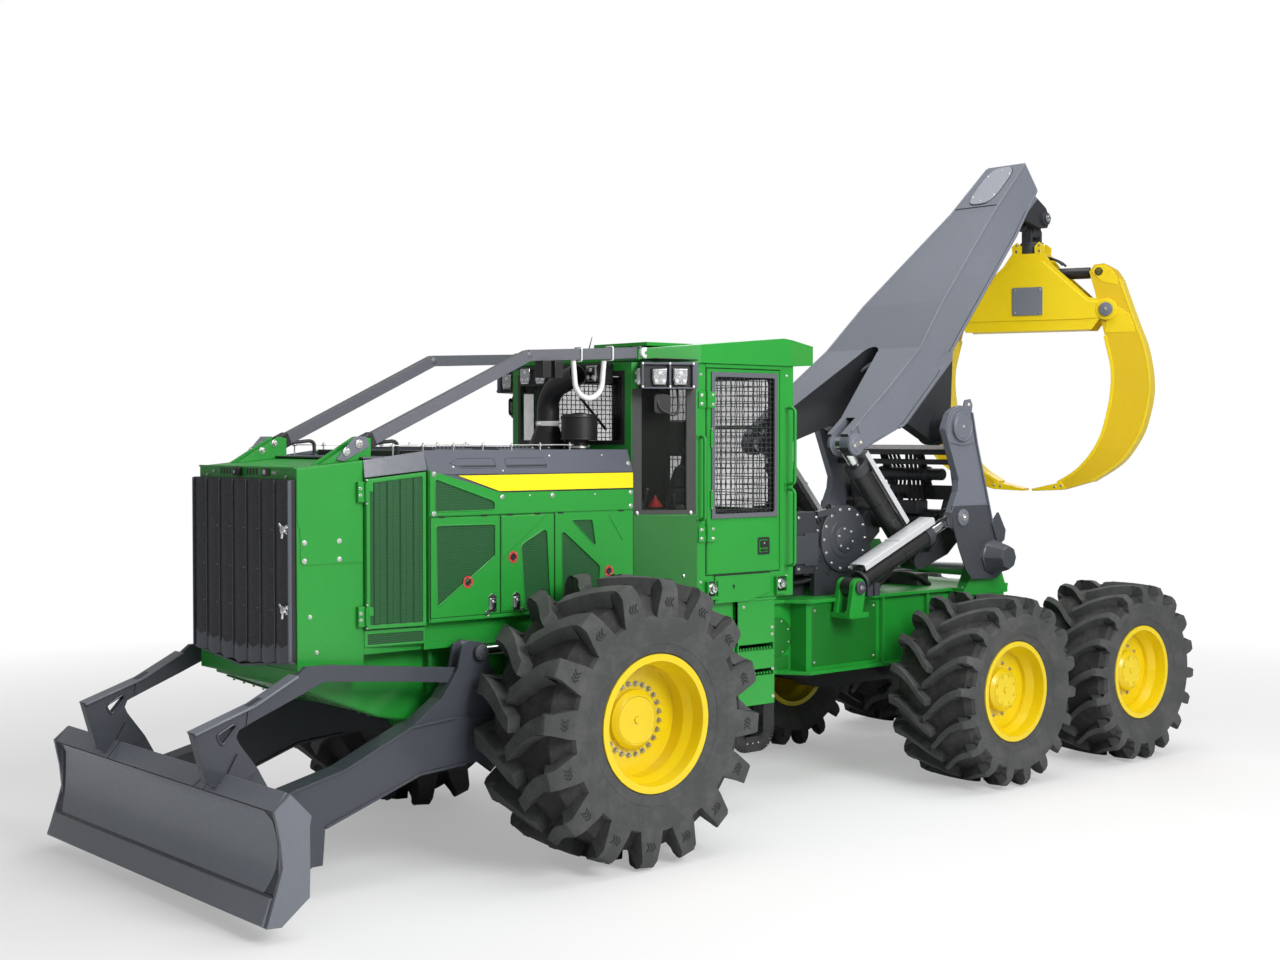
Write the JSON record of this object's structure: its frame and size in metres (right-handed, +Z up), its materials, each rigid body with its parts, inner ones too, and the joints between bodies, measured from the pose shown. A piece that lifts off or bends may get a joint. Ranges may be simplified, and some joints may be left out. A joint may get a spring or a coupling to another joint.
{
  "type": "grapple skidder",
  "caption": "Articulated forestry skidder on bogie wheels with a front push blade, closed cab, and a tilting arch and boom carrying a rotating log grapple.",
  "frame": {"origin": "on the ground under the middle of the machine's overall length, on its centre plane", "axes": "+X forward towards the blade, +Y to the machine's left, +Z up"},
  "size_m": [9.2238, 3.255, 5.1497],
  "materials": {
    "green_paint": "gloss",
    "grey_paint": "satin",
    "dark_paint": "satin",
    "yellow_paint": "gloss",
    "black_mesh": "matt",
    "tyre_rubber": "matt",
    "chrome_rod": "polished",
    "cylinder_black": "satin",
    "cast_dark": "rough",
    "clear_glass": "clear",
    "seat_fabric": "woven",
    "cab_plastic": "matt",
    "lamp_body": "matt"
  },
  "bodies": {
    "front": {"front_frame": "green_paint", "front_axle": "cast_dark", "drive_line": "cast_dark", "hood_shell": "green_paint", "engine_panels": "green_paint", "guard_bars": "grey_paint", "exhaust_stack": "cylinder_black", "cab_shell": "green_paint", "cab_glass": "clear_glass", "cab_roof": "green_paint", "cab_furniture": "cab_plastic", "operator_seat": "seat_fabric", "work_lights": "lamp_body", "cab_steps": "green_paint"},
    "rear": {"rear_frame": "green_paint", "arch_mounts": "green_paint", "rear_axle": "cast_dark", "winch_housing": "dark_paint"},
    "blade": {"blade": "grey_paint"},
    "blade_barrels": {"blade_barrels": "cylinder_black"},
    "blade_rods": {"blade_rods": "chrome_rod"},
    "arch": {"arch": "grey_paint"},
    "arch_barrels": {"arch_barrels": "cylinder_black"},
    "arch_rods": {"arch_rods": "chrome_rod"},
    "boom": {"boom": "grey_paint"},
    "boom_barrels": {"boom_barrels": "cylinder_black"},
    "boom_rods": {"boom_rods": "chrome_rod"},
    "head_pin": {"head_pin": "cast_dark"},
    "crosshead": {"crosshead": "dark_paint"},
    "rotator": {"rotator": "dark_paint"},
    "grapple": {"grapple_body": "yellow_paint"},
    "tong_left": {"tong_left": "yellow_paint"},
    "tong_right": {"tong_right": "yellow_paint"},
    "tong_barrel": {"tong_barrel": "yellow_paint"},
    "tong_rod": {"tong_rod": "chrome_rod"},
    "grille": {"grille": "black_mesh"},
    "winch_drum": {"winch_drum": "dark_paint"},
    "cab_door_left": {"cab_door_left": "green_paint"},
    "radiator_door_left": {"radiator_door_left": "green_paint"},
    "steer_barrel_left": {"steer_barrel_left": "cylinder_black"},
    "steer_rod_left": {"steer_rod_left": "chrome_rod"},
    "cab_door_right": {"cab_door_right": "green_paint"},
    "radiator_door_right": {"radiator_door_right": "green_paint"},
    "steer_barrel_right": {"steer_barrel_right": "cylinder_black"},
    "steer_rod_right": {"steer_rod_right": "chrome_rod"},
    "wheel_front_left": {"tyre_front_left": "tyre_rubber", "rim_front_left": "yellow_paint"},
    "wheel_front_right": {"tyre_front_right": "tyre_rubber", "rim_front_right": "yellow_paint"},
    "wheel_mid_left": {"tyre_mid_left": "tyre_rubber", "rim_mid_left": "yellow_paint"},
    "wheel_mid_right": {"tyre_mid_right": "tyre_rubber", "rim_mid_right": "yellow_paint"},
    "wheel_back_left": {"tyre_back_left": "tyre_rubber", "rim_back_left": "yellow_paint"},
    "wheel_back_right": {"tyre_back_right": "tyre_rubber", "rim_back_right": "yellow_paint"}
  },
  "joints": [
    {"name": "spin_front_left", "type": "hinge", "parent": "front", "child": "wheel_front_left", "pos_m": [1.8919, 1.24, 0.915], "axis": [0, 1, 0], "continuous": true},
    {"name": "spin_front_right", "type": "hinge", "parent": "front", "child": "wheel_front_right", "pos_m": [1.8919, -1.24, 0.915], "axis": [0, 1, 0], "continuous": true},
    {"name": "spin_mid_left", "type": "hinge", "parent": "rear", "child": "wheel_mid_left", "pos_m": [-1.9076, 1.182, 0.74], "axis": [0, 1, 0], "continuous": true},
    {"name": "spin_mid_right", "type": "hinge", "parent": "rear", "child": "wheel_mid_right", "pos_m": [-1.9076, -1.182, 0.74], "axis": [0, 1, 0], "continuous": true},
    {"name": "spin_back_left", "type": "hinge", "parent": "rear", "child": "wheel_back_left", "pos_m": [-3.6226, 1.182, 0.74], "axis": [0, 1, 0], "continuous": true},
    {"name": "spin_back_right", "type": "hinge", "parent": "rear", "child": "wheel_back_right", "pos_m": [-3.6226, -1.182, 0.74], "axis": [0, 1, 0], "continuous": true},
    {"name": "articulation", "type": "hinge", "parent": "front", "child": "rear", "pos_m": [-0.1281, 0, 1.11], "axis": [0, 0, 1], "range_deg": [-42, 42]},
    {"name": "steer_barrel_left_turn", "type": "hinge", "parent": "front", "child": "steer_barrel_left", "pos_m": [0.6219, 0.28, 1.11], "axis": [0, 0, 1], "range_deg": [-4.45, 4.45]},
    {"name": "steer_rod_left_slide", "type": "slide", "parent": "steer_barrel_left", "child": "steer_rod_left", "axis": [-1, 0, 0], "range_m": [-0.2008, 0.2008]},
    {"name": "steer_barrel_right_turn", "type": "hinge", "parent": "front", "child": "steer_barrel_right", "pos_m": [0.6219, -0.28, 1.11], "axis": [0, 0, 1], "range_deg": [-4.45, 4.45]},
    {"name": "steer_rod_right_slide", "type": "slide", "parent": "steer_barrel_right", "child": "steer_rod_right", "axis": [-1, 0, 0], "range_m": [-0.2008, 0.2008]},
    {"name": "blade_lift", "type": "hinge", "parent": "front", "child": "blade", "pos_m": [2.3419, 0, 0.78], "axis": [0, -1, 0], "range_deg": [-7, 24]},
    {"name": "blade_barrels_turn", "type": "hinge", "parent": "front", "child": "blade_barrels", "pos_m": [1.4419, 0, 1.35], "axis": [0, -1, 0], "range_deg": [-2.22, 6.22]},
    {"name": "blade_rods_slide", "type": "slide", "parent": "blade_barrels", "child": "blade_rods", "axis": [1, 0, 0.0032], "range_m": [-0.2585, 0.0789]},
    {"name": "arch_tilt", "type": "hinge", "parent": "rear", "child": "arch", "pos_m": [-2.6031, 0, 1.712], "axis": [0, -1, 0], "range_deg": [-5, 45]},
    {"name": "arch_barrels_turn", "type": "hinge", "parent": "rear", "child": "arch_barrels", "pos_m": [-0.9811, 0, 1.545], "axis": [0, -1, 0], "range_deg": [-2.44, 0.78]},
    {"name": "arch_rods_slide", "type": "slide", "parent": "arch_barrels", "child": "arch_rods", "axis": [-0.925, 0, 0.38], "range_m": [-0.0485, 0.3966]},
    {"name": "boom_lift", "type": "hinge", "parent": "arch", "child": "boom", "pos_m": [-2.1841, 0, 2.793], "axis": [0, 1, 0], "range_deg": [-52, 0]},
    {"name": "boom_barrels_turn", "type": "hinge", "parent": "arch", "child": "boom_barrels", "pos_m": [-1.9081, 0, 1.7], "axis": [0, -1, 0], "range_deg": [-0.57, 26.56]},
    {"name": "boom_rods_slide", "type": "slide", "parent": "boom_barrels", "child": "boom_rods", "axis": [0.6625, 0, 0.7491], "range_m": [-0.005, 0.7213]},
    {"name": "head_pin_turn", "type": "hinge", "parent": "boom", "child": "head_pin", "pos_m": [-4.1081, 0, 4.69], "axis": [0, 1, 0], "range_deg": [-5, 45]},
    {"name": "grapple_pitch", "type": "hinge", "parent": "head_pin", "child": "crosshead", "pos_m": [-4.1081, 0, 4.69], "axis": [0, -1, 0], "range_deg": [-52, 0]},
    {"name": "grapple_sway", "type": "hinge", "parent": "crosshead", "child": "rotator", "pos_m": [-4.1081, 0, 4.57], "axis": [1, 0, 0], "range_deg": [-20, 20]},
    {"name": "grapple_rotation", "type": "hinge", "parent": "rotator", "child": "grapple", "pos_m": [-4.1081, 0, 4.372], "axis": [0, 0, 1], "continuous": true},
    {"name": "tongs_open", "type": "hinge", "parent": "grapple", "child": "tong_left", "pos_m": [-4.37295, 0.65552, 3.847], "axis": [0.9272, 0.3746, 0], "range_deg": [0, 55]},
    {"name": "tong_right_turn", "type": "hinge", "parent": "grapple", "child": "tong_right", "pos_m": [-3.84325, -0.65552, 3.847], "axis": [0.9272, 0.3746, 0], "range_deg": [-55, 0]},
    {"name": "tong_barrel_turn", "type": "hinge", "parent": "tong_left", "child": "tong_barrel", "pos_m": [-4.34448, 0.58505, 4.187], "axis": [0.9272, 0.3746, 0], "range_deg": [-55, 0]},
    {"name": "tong_rod_slide", "type": "slide", "parent": "tong_barrel", "child": "tong_rod", "axis": [-0.3746, 0.9272, 0], "range_m": [-0.005, 0.5312]},
    {"name": "cab_door_left", "type": "hinge", "parent": "front", "child": "cab_door_left", "pos_m": [0.8189, 0.918, 1.742], "axis": [0, 0, 1], "range_deg": [-85, 0]},
    {"name": "radiator_door_left", "type": "hinge", "parent": "front", "child": "radiator_door_left", "pos_m": [3.4099, 0.646, 1.534], "axis": [0, 0, 1], "range_deg": [-100, 0]},
    {"name": "cab_door_right", "type": "hinge", "parent": "front", "child": "cab_door_right", "pos_m": [0.8189, -0.918, 1.742], "axis": [0, 0, -1], "range_deg": [-85, 0]},
    {"name": "radiator_door_right", "type": "hinge", "parent": "front", "child": "radiator_door_right", "pos_m": [3.4099, -0.646, 1.534], "axis": [0, 0, -1], "range_deg": [-100, 0]},
    {"name": "grille_door", "type": "hinge", "parent": "front", "child": "grille", "pos_m": [3.8749, -0.628, 1.356], "axis": [0, 0, 1], "range_deg": [-110, 0]},
    {"name": "winch_spin", "type": "hinge", "parent": "rear", "child": "winch_drum", "pos_m": [-1.1981, 0, 1.9], "axis": [0, 1, 0], "continuous": true}
  ],
  "couplings": [
    {"joint": "steer_barrel_left_turn", "follows": "articulation", "ratio": 0.092246},
    {"joint": "steer_rod_left_slide", "follows": "articulation", "m_per_rad": 0.26715},
    {"joint": "steer_barrel_right_turn", "follows": "articulation", "ratio": 0.092246},
    {"joint": "steer_rod_right_slide", "follows": "articulation", "m_per_rad": -0.26715},
    {"joint": "blade_barrels_turn", "follows": "blade_lift", "ratio": 0.23511},
    {"joint": "blade_rods_slide", "follows": "blade_lift", "m_per_rad": -0.60514},
    {"joint": "arch_barrels_turn", "follows": "arch_tilt", "ratio": -0.041373},
    {"joint": "arch_rods_slide", "follows": "arch_tilt", "m_per_rad": 0.49862},
    {"joint": "boom_barrels_turn", "follows": "boom_lift", "ratio": -0.49979},
    {"joint": "boom_rods_slide", "follows": "boom_lift", "m_per_rad": -0.78928},
    {"joint": "head_pin_turn", "follows": "arch_tilt", "ratio": 1},
    {"joint": "grapple_pitch", "follows": "boom_lift", "ratio": 1},
    {"joint": "tong_right_turn", "follows": "tongs_open", "ratio": -1},
    {"joint": "tong_barrel_turn", "follows": "tongs_open", "ratio": -1},
    {"joint": "tong_rod_slide", "follows": "tongs_open", "m_per_rad": 0.54813}
  ]
}
